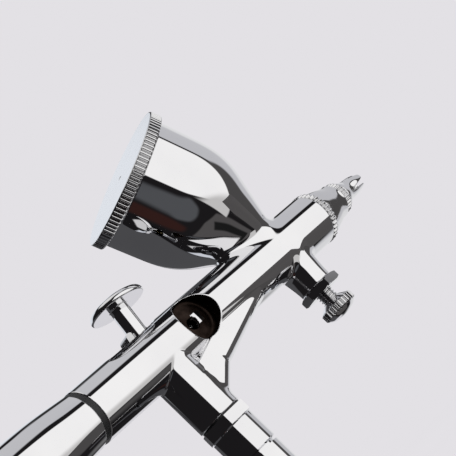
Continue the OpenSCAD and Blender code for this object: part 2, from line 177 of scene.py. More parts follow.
def turned_metal(name, dark, light, rough, origin, direction, pitch, depth):
    """Faced metal with fine rings about an axis, as a lathe leaves them."""
    mat, nodes, links, shader = material(name)
    shader.inputs["Metallic"].default_value = 1.0
    coord = nodes.new("ShaderNodeTexCoord")
    offset = nodes.new("ShaderNodeVectorMath")
    offset.operation = "SUBTRACT"
    offset.inputs[1].default_value = origin
    links.new(coord.outputs["Object"], offset.inputs[0])
    across = nodes.new("ShaderNodeVectorMath")
    across.operation = "CROSS_PRODUCT"
    across.inputs[1].default_value = direction
    links.new(offset.outputs["Vector"], across.inputs[0])
    radius = nodes.new("ShaderNodeVectorMath")
    radius.operation = "LENGTH"
    links.new(across.outputs["Vector"], radius.inputs[0])
    wave = nodes.new("ShaderNodeMath")
    wave.operation = "SINE"
    times = nodes.new("ShaderNodeMath")
    times.operation = "MULTIPLY"
    times.inputs[1].default_value = 2 * math.pi / pitch
    links.new(radius.outputs["Value"], times.inputs[0])
    links.new(times.outputs["Value"], wave.inputs[0])
    smear = noise(nodes, links, 260.0, 5.0)
    both = nodes.new("ShaderNodeMath")
    both.operation = "MULTIPLY"
    links.new(wave.outputs["Value"], both.inputs[0])
    links.new(smear, both.inputs[1])
    links.new(bump(nodes, links, both.outputs["Value"], 0.3, depth), shader.inputs["Normal"])
    links.new(tinted(nodes, links, ranged(nodes, links, smear, 0, 1), dark, light),
              shader.inputs["Base Color"])
    links.new(ranged(nodes, links, smear, rough[0], rough[1]), shader.inputs["Roughness"])
    return mat


def soft(name, dark, light, rough, grain, depth, glow=0.0):
    """Rubber or plastic: mottled colour, pebbled surface."""
    mat, nodes, links, shader = material(name)
    mottle = noise(nodes, links, 700.0, 4.0)
    links.new(tinted(nodes, links, ranged(nodes, links, mottle, 0, 1), dark, light),
              shader.inputs["Base Color"])
    links.new(ranged(nodes, links, mottle, rough[0], rough[1]), shader.inputs["Roughness"])
    links.new(bump(nodes, links, noise(nodes, links, grain, 2.0), 0.4, depth),
              shader.inputs["Normal"])
    shader.inputs["Subsurface Weight"].default_value = glow
    shader.inputs["Subsurface Radius"].default_value = (0.001, 0.001, 0.001)
    return mat


CUP_UP = Vector((-math.sin(CUP_LEAN), 0, math.cos(CUP_LEAN)))
CHROME = metal("polished_chrome", (0.80, 0.80, 0.815), (0.84, 0.84, 0.85), (0.012, 0.04))
# knurled chrome whose grooves get painted shade and dirt in their base colour
GRIP = metal("knurled_chrome", (0.78, 0.78, 0.79), (0.83, 0.83, 0.84), (0.04, 0.09), groove_shade_and_dirt=0.55)
# near-black metal for the side socket: its colour is painted shade for the recess, its
# roughness and grain the bore's dull finish
BORE_PAINTED_SHADE = metal("dull_bore_painted_shade", (0.008, 0.005, 0.004), (0.035, 0.024, 0.02), (0.3, 0.45),
             cloud=420.0, grain=(1, 0.08, 1), grain_depth=0.00004)
LID_FACE = turned_metal("faced_lid", (0.78, 0.79, 0.81), (0.83, 0.835, 0.85), (0.10, 0.19),
                        AXIS + Vector((CUP_X * MM, 0, 0)), CUP_UP, 0.00032, 0.000004)
STEEL = metal("stainless_steel", (0.52, 0.52, 0.53), (0.64, 0.64, 0.65), (0.14, 0.26),
              grain=(0.06, 1, 1), grain_depth=0.00001)
BRASS = metal("machined_brass", (0.66, 0.50, 0.22), (0.80, 0.65, 0.33), (0.14, 0.28),
              grain=(1, 0.1, 0.1), grain_depth=0.00001)
RUBBER = soft("black_rubber", (0.012, 0.012, 0.013), (0.03, 0.03, 0.032), (0.42, 0.6),
              2600.0, 0.00002)
PTFE = soft("white_ptfe", (0.80, 0.80, 0.77), (0.90, 0.90, 0.88), (0.35, 0.5), 1800.0,
            0.00001, 0.15)


def paint(obj, *mats):
    obj.data.materials.clear()
    for mat in mats:
        obj.data.materials.append(mat)


# ------------------------------------------------------------------ mesh building


def add_mesh(name, points, faces, normals, mat, body, stands_for):
    """A mesh from points in millimetres about the needle axis, with its own normals."""
    mesh = bpy.data.meshes.new(name)
    points = np.asarray(points, float) * MM + np.array(AXIS)
    mesh.vertices.add(len(points))
    mesh.vertices.foreach_set("co", points.astype(np.float32).ravel())
    sizes = np.array([len(f) for f in faces]) if isinstance(faces, list) else None
    if sizes is None:
        sizes = np.full(len(faces), faces.shape[1])
        flat = faces.ravel()
    else:
        flat = np.concatenate([np.asarray(f) for f in faces])
    mesh.loops.add(len(flat))
    mesh.loops.foreach_set("vertex_index", flat.astype(np.int32))
    mesh.polygons.add(len(sizes))
    starts = np.concatenate([[0], np.cumsum(sizes)[:-1]])
    mesh.polygons.foreach_set("loop_start", starts.astype(np.int32))
    mesh.polygons.foreach_set("use_smooth", np.ones(len(sizes), bool))
    mesh.update(calc_edges=True)
    mesh.normals_split_custom_set_from_vertices(np.asarray(normals, np.float32))
    obj = bpy.data.objects.new(name, mesh)
    bpy.context.scene.collection.objects.link(obj)
    paint(obj, mat)
    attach(obj, body)
    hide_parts(*stands_for)
    return obj


def repaint(obj, mat, chosen):
    """Gives mat to the polygons that chosen picks by centre (mm about the axis) and normal."""
    polys = obj.data.polygons
    centre, facing = np.empty(len(polys) * 3, np.float32), np.empty(len(polys) * 3, np.float32)
    polys.foreach_get("center", centre)
    polys.foreach_get("normal", facing)
    centre = (centre.reshape(-1, 3) - np.array(AXIS)) / MM
    obj.data.materials.append(mat)
    polys.foreach_set("material_index", chosen(centre, facing.reshape(-1, 3)).astype(np.int32))


def spline(points):
    """A natural cubic through (t, value) pairs, as a function of an array."""
    t, v = (np.array(c, float) for c in zip(*points))
    n, h = len(t), np.diff(t)
    a, b = np.zeros((n, n)), np.zeros(n)
    a[0, 0] = a[-1, -1] = 1
    for i in range(1, n - 1):
        a[i, i - 1:i + 2] = h[i - 1], 2 * (h[i - 1] + h[i]), h[i]
        b[i] = 3 * ((v[i + 1] - v[i]) / h[i] - (v[i] - v[i - 1]) / h[i - 1])
    c = np.linalg.solve(a, b)
    d = np.diff(c) / (3 * h)
    s = np.diff(v) / h - h * (2 * c[:-1] + c[1:]) / 3

    def at(x):
        x = np.clip(x, t[0], t[-1])
        i = np.clip(np.searchsorted(t, x) - 1, 0, n - 2)
        u = x - t[i]
        return v[i] + u * (s[i] + u * (c[i] + u * d[i]))

    return at


def along(points, count):
    """(s, r) samples of a smooth curve through points."""
    curve = spline(points)
    s = np.linspace(points[0][0], points[-1][0], count)
    return list(zip(s, curve(s)))


def eased(profile, ease, closed):
    """Rounds a profile's corners. Returns points (s, r) and outward normals."""
    p = np.array([q[:2] for q in profile], float)
    radius = [q[2] if len(q) > 2 else ease for q in profile]
    n = len(p)
    area = sum(p[i][0] * p[(i + 1) % n][1] - p[(i + 1) % n][0] * p[i][1] for i in range(n))
    turn = 1.0 if area > 0 else -1.0

    def normal(d):
        return np.array([d[1], -d[0]]) * turn

    out, normals = [], []
    for i in range(n):
        ends = not closed and i in (0, n - 1)
        before, after = p[i] - p[i - 1], p[(i + 1) % n] - p[i]
        if ends:
            d = after if i == 0 else before
            out.append(p[i])
            normals.append(normal(d / np.linalg.norm(d)))
            continue
        lb, la = np.linalg.norm(before), np.linalg.norm(after)
        b, a = before / lb, after / la
        angle = math.atan2(b[0] * a[1] - b[1] * a[0], float(b @ a))
        if abs(angle) < math.radians(14):
            nrm = normal(b) + normal(a)
            out.append(p[i])
            normals.append(nrm / np.linalg.norm(nrm))
            continue
        back = min(radius[i] * math.tan(abs(angle) / 2), 0.46 * lb, 0.46 * la)
        r = back / math.tan(abs(angle) / 2)
        start = p[i] - b * back
        side = np.array([-b[1], b[0]]) * math.copysign(1, angle)
        centre = start + side * r
        steps = max(2, math.ceil(abs(angle) / math.radians(11)))
        for k in range(steps + 1):
            t = angle * k / steps
            c, s_ = math.cos(t), math.sin(t)
            arm = start - centre
            q = centre + np.array([c * arm[0] - s_ * arm[1], s_ * arm[0] + c * arm[1]])
            d = np.array([c * b[0] - s_ * b[1], s_ * b[0] + c * b[1]])
            out.append(q)
            normals.append(normal(d))
    return np.array(out), np.array(normals)


def lathe(name, profile, origin, direction, mat, body, stands_for, closed=False,
          ease=0.1, segments=128, flutes=(), helix=None):
    """A turned piece. profile is (s, r[, corner radius]) along direction from origin.

    flutes: (count, depth, s0, s1, band radius, half width of a groove) straight grooves.
    helix: (s0, s1, pitch, depth) cuts a screw thread into the outermost wall.
    """
    if flutes:
        segments = max(f[0] for f in flutes) * FLUTE_FACETS
    pts, nrm = eased(profile, ease, closed)
    # finer steps along the profile where grooves or a thread cross it
    bands = [(f[2], f[3], f[4] - f[1] - 0.3, FLUTE_STEP) for f in flutes]
    if helix:
        bands.append((helix[0], helix[1], 0, helix[2] / 14))
    for s0, s1, floor_r, step in bands:
        keep, knr = [pts[0]], [nrm[0]]
        for i in range(1, len(pts)):
            a, b = pts[i - 1], pts[i]
            inside = min(a[0], b[0]) < s1 and max(a[0], b[0]) > s0 and max(a[1], b[1]) > floor_r
            steps = int(np.linalg.norm(b - a) / step) if inside else 1
            for k in range(1, steps):
                keep.append(a + (b - a) * k / steps)
                mixed = nrm[i - 1] + (nrm[i] - nrm[i - 1]) * k / steps
                knr.append(mixed / np.linalg.norm(mixed))
            keep.append(b)
            knr.append(nrm[i])
        pts, nrm = np.array(keep), np.array(knr)
    theta = np.arange(segments) * 2 * math.pi / segments
    s, r = np.repeat(pts[:, :1], segments, 1), np.repeat(pts[:, 1:], segments, 1)
    ns, nr = np.repeat(nrm[:, :1], segments, 1), np.repeat(nrm[:, 1:], segments, 1)
    nt = np.zeros_like(r)
    th = np.repeat(theta[None], len(pts), 0)
    for count, depth, s0, s1, band, half in flutes:
        def limit(t):
            u = np.abs((t * count / (2 * math.pi)) % 1.0 - 0.5) / half
            return band - depth * np.where(u < 1, (1 - u * u) ** 2, 0)
        cap = limit(th)
        cut = (s >= s0) & (s <= s1) & (r > cap)
        slope_t = (limit(th + 1e-4) - limit(th - 1e-4)) / 2e-4
        r = np.where(cut, cap, r)
        wall = cut & (nr > 0.3)
        nt = np.where(wall, -slope_t / cap * nr, nt)
    if helix:
        s0, s1, pitch, depth = helix

        def thread(sv, t):
            phase = (sv / pitch - t / (2 * math.pi)) % 1.0
            bite = np.clip(1.35 * (0.5 + 0.5 * np.cos(2 * math.pi * phase)), 0, 1)
            runout = np.clip((sv - s0) / 0.25, 0, 1) * np.clip((s1 - sv) / 0.25, 0, 1)
            return depth * bite * runout
        wall = (s > s0) & (s < s1) & (nr > 0.9)
        cut = np.where(wall, thread(s, th), 0)
        e = 1e-3
        ns = np.where(wall, (thread(s + e, th) - thread(s - e, th)) / (2 * e), ns)
        round_r = np.maximum(r, e)
        nt = np.where(wall, (thread(s, th + e) - thread(s, th - e)) / (2 * e) / round_r, nt)
        r = r - cut
    d = Vector(direction).normalized()
    u = d.orthogonal().normalized()
    v = d.cross(u)
    d, u, v = np.array(d), np.array(u), np.array(v)
    o = np.array(origin, float)
    er = np.cos(th)[..., None] * u + np.sin(th)[..., None] * v
    et = -np.sin(th)[..., None] * u + np.cos(th)[..., None] * v
    xyz = o + s[..., None] * d + r[..., None] * er
    norm = ns[..., None] * d + nr[..., None] * er + nt[..., None] * et
    norm /= np.linalg.norm(norm, axis=-1, keepdims=True)
    n, m = len(pts), segments
    rings = [i for i in range(n) if pts[i][1] > 1e-6]
    points = [xyz[i] for i in rings]
    norms = [norm[i] for i in rings]
    base = {ring: k * m for k, ring in enumerate(rings)}
    i0, i1 = np.arange(m), (np.arange(m) + 1) % m
    faces = []
    total = len(rings) * m
    poles, pole_normals = [], []
    pairs = [(i, i + 1) for i in range(n - 1)] + ([(n - 1, 0)] if closed else [])
    for a, b in pairs:
        if a in base and b in base:
            q = np.stack([base[a] + i0, base[b] + i0, base[b] + i1, base[a] + i1], 1)
            faces.extend(q.tolist())
        elif a in base or b in base:
            ring, pole = (a, b) if a in base else (b, a)
            poles.append(xyz[pole][0])
            pole_normals.append(nrm[pole][0] * d)
            tip = total + len(poles) - 1
            q = np.stack([base[ring] + i0, np.full(m, tip), base[ring] + i1], 1)
            if pole < ring:
                q = q[:, ::-1]
            faces.extend(q.tolist())
    points = np.concatenate(points + ([np.array(poles)] if poles else []))
    norms = np.concatenate(norms + ([np.array(pole_normals)] if poles else []))
    # the winding follows the profile's direction
    f = np.array(faces[0])
    face_n = np.cross(points[f[1]] - points[f[0]], points[f[2]] - points[f[0]])
    if face_n @ norms[f[0]] < 0:
        faces = [q[::-1] for q in faces]
    return add_mesh(name, points, faces, norms, mat, body, stands_for)


# ------------------------------------------------------------------ smooth solids
# The body and the cup are brazed and buffed to one flowing surface. They are given as a
# signed distance field in millimetres about the needle axis, which is then meshed.


def smin(a, b, k):
    """Union of two fields with a fillet of about k."""
    h = np.clip(0.5 + 0.5 * (b - a) / k, 0, 1)
    return b + (a - b) * h - k * h * (1 - h)


def smax(a, b, k):
    return -smin(-a, -b, k)


def slope(field, p, e=2e-3):
    """Gradient and value of a field at points."""
    x, y, z = p.T
    g = np.stack([field(x + e, y, z) - field(x - e, y, z),
                  field(x, y + e, z) - field(x, y - e, z),
                  field(x, y, z + e) - field(x, y, z - e)], 1) / (2 * e)
    return g, field(x, y, z)


def surface(field, lo, hi, step):
    """The zero level of a field as points, quads and normals, by surface nets."""
    lo, hi = np.array(lo, float), np.array(hi, float)
    block = 8
    count = np.ceil((hi - lo) / (step * block)).astype(int)
    n = count * block + 1
    axes = [lo[i] + step * np.arange(n[i]) for i in range(3)]
    mid = [lo[i] + step * block * (np.arange(count[i]) + 0.5) for i in range(3)]
    far = field(*np.meshgrid(*mid, indexing="ij"))
    f = np.ones(n, np.float32)
    inside = np.repeat(np.repeat(np.repeat(far < 0, block, 0), block, 1), block, 2)
    f[:-1, :-1, :-1][inside] = -1
    for cell in np.argwhere(np.abs(far) < step * block * 1.15):
        s = tuple(slice(c * block, c * block + block + 1) for c in cell)
        f[s] = field(*np.meshgrid(*(axes[i][s[i]] for i in range(3)), indexing="ij"))
    sign = f < 0
    total = np.zeros(n - 1, np.uint8)
    for dx in (0, 1):
        for dy in (0, 1):
            for dz in (0, 1):
                total += sign[dx:n[0] - 1 + dx, dy:n[1] - 1 + dy, dz:n[2] - 1 + dz]
    cells = np.argwhere((total > 0) & (total < 8))
    index = np.full(total.shape, -1, np.int32)
    index[tuple(cells.T)] = np.arange(len(cells))
    point, hits = np.zeros((len(cells), 3)), np.zeros(len(cells))
    faces = []
    one = np.eye(3, dtype=int)
    for a in range(3):
        b, c = (a + 1) % 3, (a + 2) % 3
        cut = sign.take(range(n[a] - 1), a) != sign.take(range(1, n[a]), a)
        edges = np.argwhere(cut)
        f0, f1 = f[tuple(edges.T)], f[tuple((edges + one[a]).T)]
        at = edges + one[a] * (f0 / (f0 - f1))[:, None]
        ring = [edges - one[b] * p - one[c] * q for p, q in ((0, 0), (1, 0), (1, 1), (0, 1))]
        good = np.all([(r >= 0).all(1) & (r < index.shape).all(1) for r in ring], 0)
        quad = np.stack([index[tuple(r[good].T)] for r in ring], 1)
        for r in range(4):
            np.add.at(point, quad[:, r], at[good])
            np.add.at(hits, quad[:, r], 1)
        out = f0[good] < 0
        quad[out] = quad[out][:, ::-1]
        faces.append(quad[:, ::-1])
    point = lo + step * point / np.maximum(hits, 1)[:, None]
    for _ in range(6):
        g, value = slope(field, point)
        reach = np.clip(value / np.maximum((g * g).sum(1), 1e-9), -step, step)
        point -= g * reach[:, None]
    g, value = slope(field, point)
    g /= np.maximum(np.linalg.norm(g, axis=1), 1e-9)[:, None]
    return point, np.concatenate(faces), g


cup_outside = spline([(0, 1.3), (3.4, 3.72), (5.9, 5.3), (9.4, 7.52), (13.0, 9.77),
                      (15.2, 11.12), (17.0, 12.05), (19.0, 12.82), (21.0, 13.33),
                      (23.5, 13.68), (27, 13.84), (31, 13.93), (34.5, 14.0), (36.5, 14.04)])
mac_outside = spline([(0, 5.2), (4, 4.72), (5.3, 4.52), (6.6, 4.36), (8.0, 4.18),
                      (9.4, 4.05), (10.3, 4.0), (11.5, 3.98)])


def body_field(x, y, z):
    q = np.hypot(y, z)
    f = smax(q - TUBE_R, np.maximum(TUBE_BACK - x, x - TUBE_FRONT), 0.25)
    spigot = np.maximum(SPIGOT_BACK - x, x - TUBE_BACK - 1)
    f = np.minimum(f, np.maximum(q - SPIGOT_R, spigot))
    # the strut that carries the air passage
    for sx, sz, rise in STRUT_RUNS:
        a = math.radians(rise)
        u = (x - sx) * math.cos(a) + (z - sz) * math.sin(a)
        w = -(x - sx) * math.sin(a) + (z - sz) * math.cos(a)
        side = smax(np.abs(y) - STRUT_HALF, -w, 3.2)
        strut = smax(smax(side, w - 6, 0.3), u, 1.0)
        f = smin(f, np.maximum(strut, -x), 0.35)
    # air valve boss
    across = np.hypot(x, y)
    f = smin(f, smax(across - BOSS_R, np.abs(z + 9) - 8, 0.25), 0.5)
    # air adjusting valve's boss, flared at its root
    r = np.hypot(x - MAC_X, y)
    mac = smax((r - mac_outside(-z)) * 0.98, np.maximum(z + 1, -z - 11.1), 0.35)
    f = smin(f, mac, 1.1)
    # the cup
    s = -(x - CUP_X) * math.sin(CUP_LEAN) + z * math.cos(CUP_LEAN)
    t = (x - CUP_X) * math.cos(CUP_LEAN) + z * math.sin(CUP_LEAN)
    r = np.hypot(t, y)
    edge = cup_outside(s)
    lean = 0.85 + 0.15 * np.clip((s - 16) / 6, 0, 1)
    cup = smax((r - edge) * lean, np.maximum(s - CUP_TOP, 1.0 - s), 0.3)
    f = smin(f, cup, 2.4)
    hollow = smax((r - (edge - CUP_WALL)) * lean, 7.2 - s, 0.8)
    hollow = smin(hollow, smax(r - CUP_THROAT_R, 1.9 - s, 0.2), 0.8)
    f = smax(f, -hollow, 0.3)
    # bores along the needle
    f = smax(f, -smax(q - REAR_BORE_R, x - REAR_BORE_FRONT, 0.1), 0.2)
    f = np.maximum(f, -smax(q - NEEDLE_BORE_R, REAR_BORE_FRONT - 1 - x, 0.1))
    f = smax(f, -smax(q - HEAD_BORE_R, HEAD_BORE_BACK - x, 0.1), 0.2)
    # trigger slot
    slot = np.hypot(x - np.clip(x, SLOT_BACK, SLOT_FRONT), y) - SLOT_HALF
    f = smax(f, -smax(slot, -z, 0.1), 0.3)
    # side feed socket, with its feed hole
    socket = smax(np.hypot(x - PORT_X, z - PORT_Z) - PORT_R, y - PORT_FLOOR, 0.9)
    f = smax(f, -socket, 0.38)
    feed = smax(np.hypot(x - PORT_X, z) - FEED_R, y, 0.1)
    f = smax(f, -feed, 0.1)
    # bores for the air valve and for the adjusting valve
    f = smax(f, -smax(across - VALVE_BORE_R, np.abs(z + 4.8) - 4.8, 0.1), 0.1)
    f = smax(f, -smax(across - CASING_BORE_R, z + 11, 0.1), 0.1)
    r = np.hypot(x - MAC_X, y)
    return smax(f, -smax(r - MAC_BORE_R, z + 8.0, 0.1), 0.15)


points, faces, normals = surface(body_field, (-29, -15, -18.5), (56.5, 15, 36),
                                 0.2)
gun_body = add_mesh("gun_body", points, faces, normals, CHROME, "body",
                    ("body_shell", "paint_cup"))


def in_socket(centre, facing):
    """The dull inside of the side socket, painted near-black as shade: wall, floor and feed
    hole, but not the small land.
    """
    x, z = centre[:, 0] - PORT_X, centre[:, 2] - PORT_Z
    r = np.hypot(x, z)
    inward = -(x * facing[:, 0] + z * facing[:, 2]) / r
    wall = (inward > 0.5) & (r > PORT_R - 0.5)
    floor = (r < PORT_R - 0.2) & (centre[:, 1] > -3.4)
    land = ((x > LAND_X[0]) & (x < LAND_X[1]) & (z > LAND_Z[0]) & (z < LAND_Z[1]) & (r > 1.4)
            & (facing[:, 1] < -0.7))
    return (r < PORT_R + 0.1) & (np.abs(centre[:, 1] + 3.6) < 2.4) & (wall | floor) & ~land


# the socket's wall, floor and feed hole get the painted shade
repaint(gun_body, BORE_PAINTED_SHADE, in_socket)

crown_outside = spline([(66.0, 2.95), (66.3, 3.13), (67.0, 3.08), (67.6, 2.88), (68.3, 2.6),
                        (69.3, 2.38), (71.5, 2.2), (73.3, 1.95), (74.2, 1.74), (74.6, 1.6)])


def crown_field(x, y, z):
    q = np.hypot(y, z)
    ends = np.maximum(CROWN_BACK - x, x - CROWN_FRONT)
    f = smax((q - crown_outside(x)) * 0.95, ends, 0.3)
    bore = np.interp(x, [65, 67.1, 68.0, 76], [2.53, 2.53, 1.7, 1.15])
    f = smax(f, -(q - bore), 0.1)
    # two crossed notches, wider toward the tip, leave four prongs
    half = 0.16 + np.clip(x - 68.6, 0, 8) * 0.095
    c, s = math.cos(CROWN_TURN), math.sin(CROWN_TURN)
    for a in (y * c + z * s, z * c - y * s):
        notch = smax(np.abs(a) - half, 68.6 - x, 0.2)
        f = smax(f, -notch, 0.16)
    return f


points, faces, normals = surface(crown_field, (65.5, -4, -4), (76, 4, 4),
                                 0.1)
add_mesh("crown_cap_skin", points, faces, normals, CHROME, "body", ("crown_cap",))

pad_top = spline([(0, 18.94), (1.6, 18.92), (3.0, 18.79), (4.3, 18.53), (5.3, 18.2),
                  (5.9, 17.9), (6.4, 17.5)])


def trigger_field(x, y, z):
    px, pz = TRIGGER_PIVOT
    c, s = math.cos(TRIGGER_LEAN), math.sin(TRIGGER_LEAN)
    u = (x - px) * c - (z - pz) * s
    w = (x - px) * s + (z - pz) * c
    r = np.hypot(u, y)
    stem = np.interp(w, [2, 2.5, 3.3, 3.9], [1.25, 1.6, 1.6, STEM_R])
    f = smax(r - stem, np.maximum(2 - w, w - 17), 0.15)
    foot = np.maximum(np.hypot(u, w) - FOOT_R, np.abs(y) - FOOT_HALF)
    neck = np.maximum(np.maximum(np.abs(u) - 1.3, np.abs(y) - FOOT_HALF),
                      np.abs(w - 1.15) - 1.15)
    f = np.minimum(f, np.minimum(foot, neck))
    pad = smax(smax((w - pad_top(r)) * 0.9, r - PAD_R, 0.7), PAD_UNDER - w, 0.42)
    f = smin(f, pad, 0.25)
    # window that the needle passes through
    window = np.maximum(np.abs(y) - 0.78, np.abs(w - 5.25) - 2.2)
    f = smax(f, -window, 0.1)
    return np.maximum(f, -(np.hypot(u, w) - PIN_BORE_R))


points, faces, normals = surface(trigger_field, (-7, -6.8, -6.2), (9.8, 6.8, 16.5),
                                 0.14)
add_mesh("finger_trigger", points, faces, normals, CHROME, "trigger", ("trigger",))

# ------------------------------------------------------------------ turned pieces

X, UP, DOWN = (1, 0, 0), (0, 0, 1), (0, 0, -1)
CENTRE = (0, 0, 0)

lid = lathe("grip_lid",
            [(CUP_TOP, 0.5), (CUP_TOP - 1.0, 0.5), (CUP_TOP - 1.0, 12.3),
             (CUP_TOP - 2.4, 12.3), (CUP_TOP - 2.4, 13.04), (CUP_TOP, 13.04),
             (CUP_TOP, LID_R, 0.35), (LID_TOP, LID_R, 0.4), (LID_TOP, 0.5)],
            (CUP_X, 0, 0), CUP_UP, GRIP, "lid", ("cup_lid",), closed=True, ease=0.12,
            flutes=[(90, 0.5, CUP_TOP - 0.1, LID_TOP - 0.15, LID_R, 0.4)])

lid_up = np.array(CUP_UP)
repaint(lid, LID_FACE, lambda centre, facing: (facing @ lid_up > 0.98)
        & ((centre - (CUP_X, 0, 0)) @ lid_up > LID_TOP - 0.05))

lathe("nozzle_head_body",
      [(50.6, 2.3), (50.6, 4.15), (55.05, 4.15), (55.05, RING_R, 0.3), (56.65, RING_R, 0.3),
       (56.65, 5.5, 0.05), (57.4, 5.42), (58.5, 5.24), (59.6, 5.02), (60.7, 4.74),
       (61.7, 4.44), (62.6, 4.24), (63.4, 4.14), (64.0, 4.1, 0.2), (64.0, 2.95),
       (60.6, 2.95), (60.4, 3.3), (58.5, 3.3), (58.5, 1.75), (54.4, 1.75), (54.4, 1.5),
       (50.6, 1.5)],
      CENTRE, X, GRIP, "body", ("nozzle_head",), closed=True,
      flutes=[(36, 0.45, 55.0, 56.75, RING_R, 0.46)])

lathe("air_cap_ring",
      [(61, 2.5), (61, 2.92), (64.02, 2.92), (64.02, AIR_CAP_R, 0.25),
       (66, AIR_CAP_R, 0.25), (66, 2.5), (66.95, 2.5), (67.3, 1.55), (68.2, 1.2),
       (68.3, 0.62), (67.9, 0.62), (67.5, 0.95), (63.6, 2.5)],
      CENTRE, X, GRIP, "body", ("air_cap",), closed=True,
      flutes=[(30, 0.3, 63.9, 66.1, AIR_CAP_R, 0.46)])

lathe("adjusting_knob",
      [(5.0, 0), (5.0, 0.6), (5.3, 0.9), (7.0, 0.9), (7.4, 1.5), (9.3, 1.5),
       (9.5, SCREW_R), (15.3, SCREW_R), (15.32, 2.15, 0.15), (15.6, 2.6),
       (16.55, KNOB_R, 0.12), (18.0, KNOB_R, 0.2)]
      + along([(18.25, 3.85), (18.8, 3.1), (19.2, 2.1), (19.4, 1.0)], 14)
      + [(19.46, 0)],
      (MAC_X, 0, 0), DOWN, GRIP, "adjusting_screw", ("mac_screw",),
      flutes=[(26, 0.42, 16.2, 18.3, KNOB_R, 0.38)],
      helix=(9.5, 15.25, SCREW_PITCH, 0.36))

lathe("tapered_handle",
      [(-84, 2.3), (-84, 3.4, 0.3)]
      + along([(-83.4, 3.7), (-76, 4.4), (-68, 5.2), (-60, 5.95), (-52, 6.52), (-46, 6.8),
               (-41, 6.9), (-36, 6.84), (-31, 6.6), (-27, 6.28), (-23.6, 6.0)], 48)
      + [(-23.4, 5.9), (-23.4, 4.95), (-60, 4.95), (-60, 3.9), (-66, 3.9), (-66, 2.5),
         (-79, 2.5), (-79, 1.55), (-81.6, 1.55), (-81.6, 2.3)],
      CENTRE, X, CHROME, "body", ("handle",), closed=True)

lathe("stop_knob",
      [(-90.4, 0), (-90.4, STOP_R, 0.35), (-86.4, STOP_R, 0.3), (-86.4, 1.5), (-85.0, 1.5),
       (-85.0, 1.33), (-84.1, 1.33), (-84.1, 1.5), (-76.6, 1.5), (-76.5, 1.2), (-76.5, 0)],
      CENTRE, X, GRIP, "stop_screw", ("stop_screw",),
      flutes=[(28, 0.32, -90.3, -86.5, STOP_R, 0.38)])


# ------------------------------------------------------------------ carried-over nodes


def ease_edges(name, mat, width=0.08):
    """Paints a CAD node and breaks its sharp edges by width millimetres."""
    obj = NODES[name]
    paint(obj, mat)
    for poly in obj.data.polygons:
        poly.use_smooth = True
    if width:
        bevel = obj.modifiers.new("eased_edges", "BEVEL")
        bevel.width = width * MM
        bevel.segments = 3
        bevel.limit_method = "ANGLE"
        bevel.angle_limit = math.radians(32)
        bevel.use_clamp_overlap = True
        bevel.harden_normals = True


for node in ("mac_nut", "air_valve_casing", "spring_case"):
    ease_edges(node, CHROME, 0.12)
ease_edges("needle_guide", CHROME)
ease_edges("needle_chuck_nut", GRIP, 0)
for node in ("auxiliary_lever", "trigger_pin", "lever_pin"):
    ease_edges(node, STEEL, 0.06)
for node in ("needle", "needle_spring", "valve_spring"):
    ease_edges(node, STEEL, 0)
for node in ("fluid_nozzle", "packing_screw", "valve_plunger", "valve_guide_screw"):
    ease_edges(node, BRASS, 0.05)
for node in ("handle_seal", "stop_o_ring", "casing_seal", "plunger_o_ring", "valve_o_ring",
             "mac_o_ring"):
    ease_edges(node, RUBBER, 0)
for node in ("needle_packing", "nozzle_seal"):
    ease_edges(node, PTFE, 0)


def coil(node, axis):
    """A spring as a piece of its own, copied from its CAD node and carried by the body."""
    low, high = (Vector(c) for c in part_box(node))
    length = abs((high - low).dot(Vector(axis)))
    mesh = NODES[node].data.copy()
    mesh.transform(NODES[node].matrix_world)
    obj = bpy.data.objects.new(node + "_coil", mesh)
    bpy.context.scene.collection.objects.link(obj)
    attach(obj, "body")
    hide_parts(node)
    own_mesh(obj)


coil("valve_spring", (0, 0, 1))
coil("needle_spring", (1, 0, 0))

# ------------------------------------------------------------------ studio


def toward(az, el):
    """Unit vector at an azimuth from +X towards +Y and a height above the horizon."""
    a, e = math.radians(az), math.radians(el)
    return Vector((math.cos(e) * math.cos(a), math.cos(e) * math.sin(a), math.sin(e)))


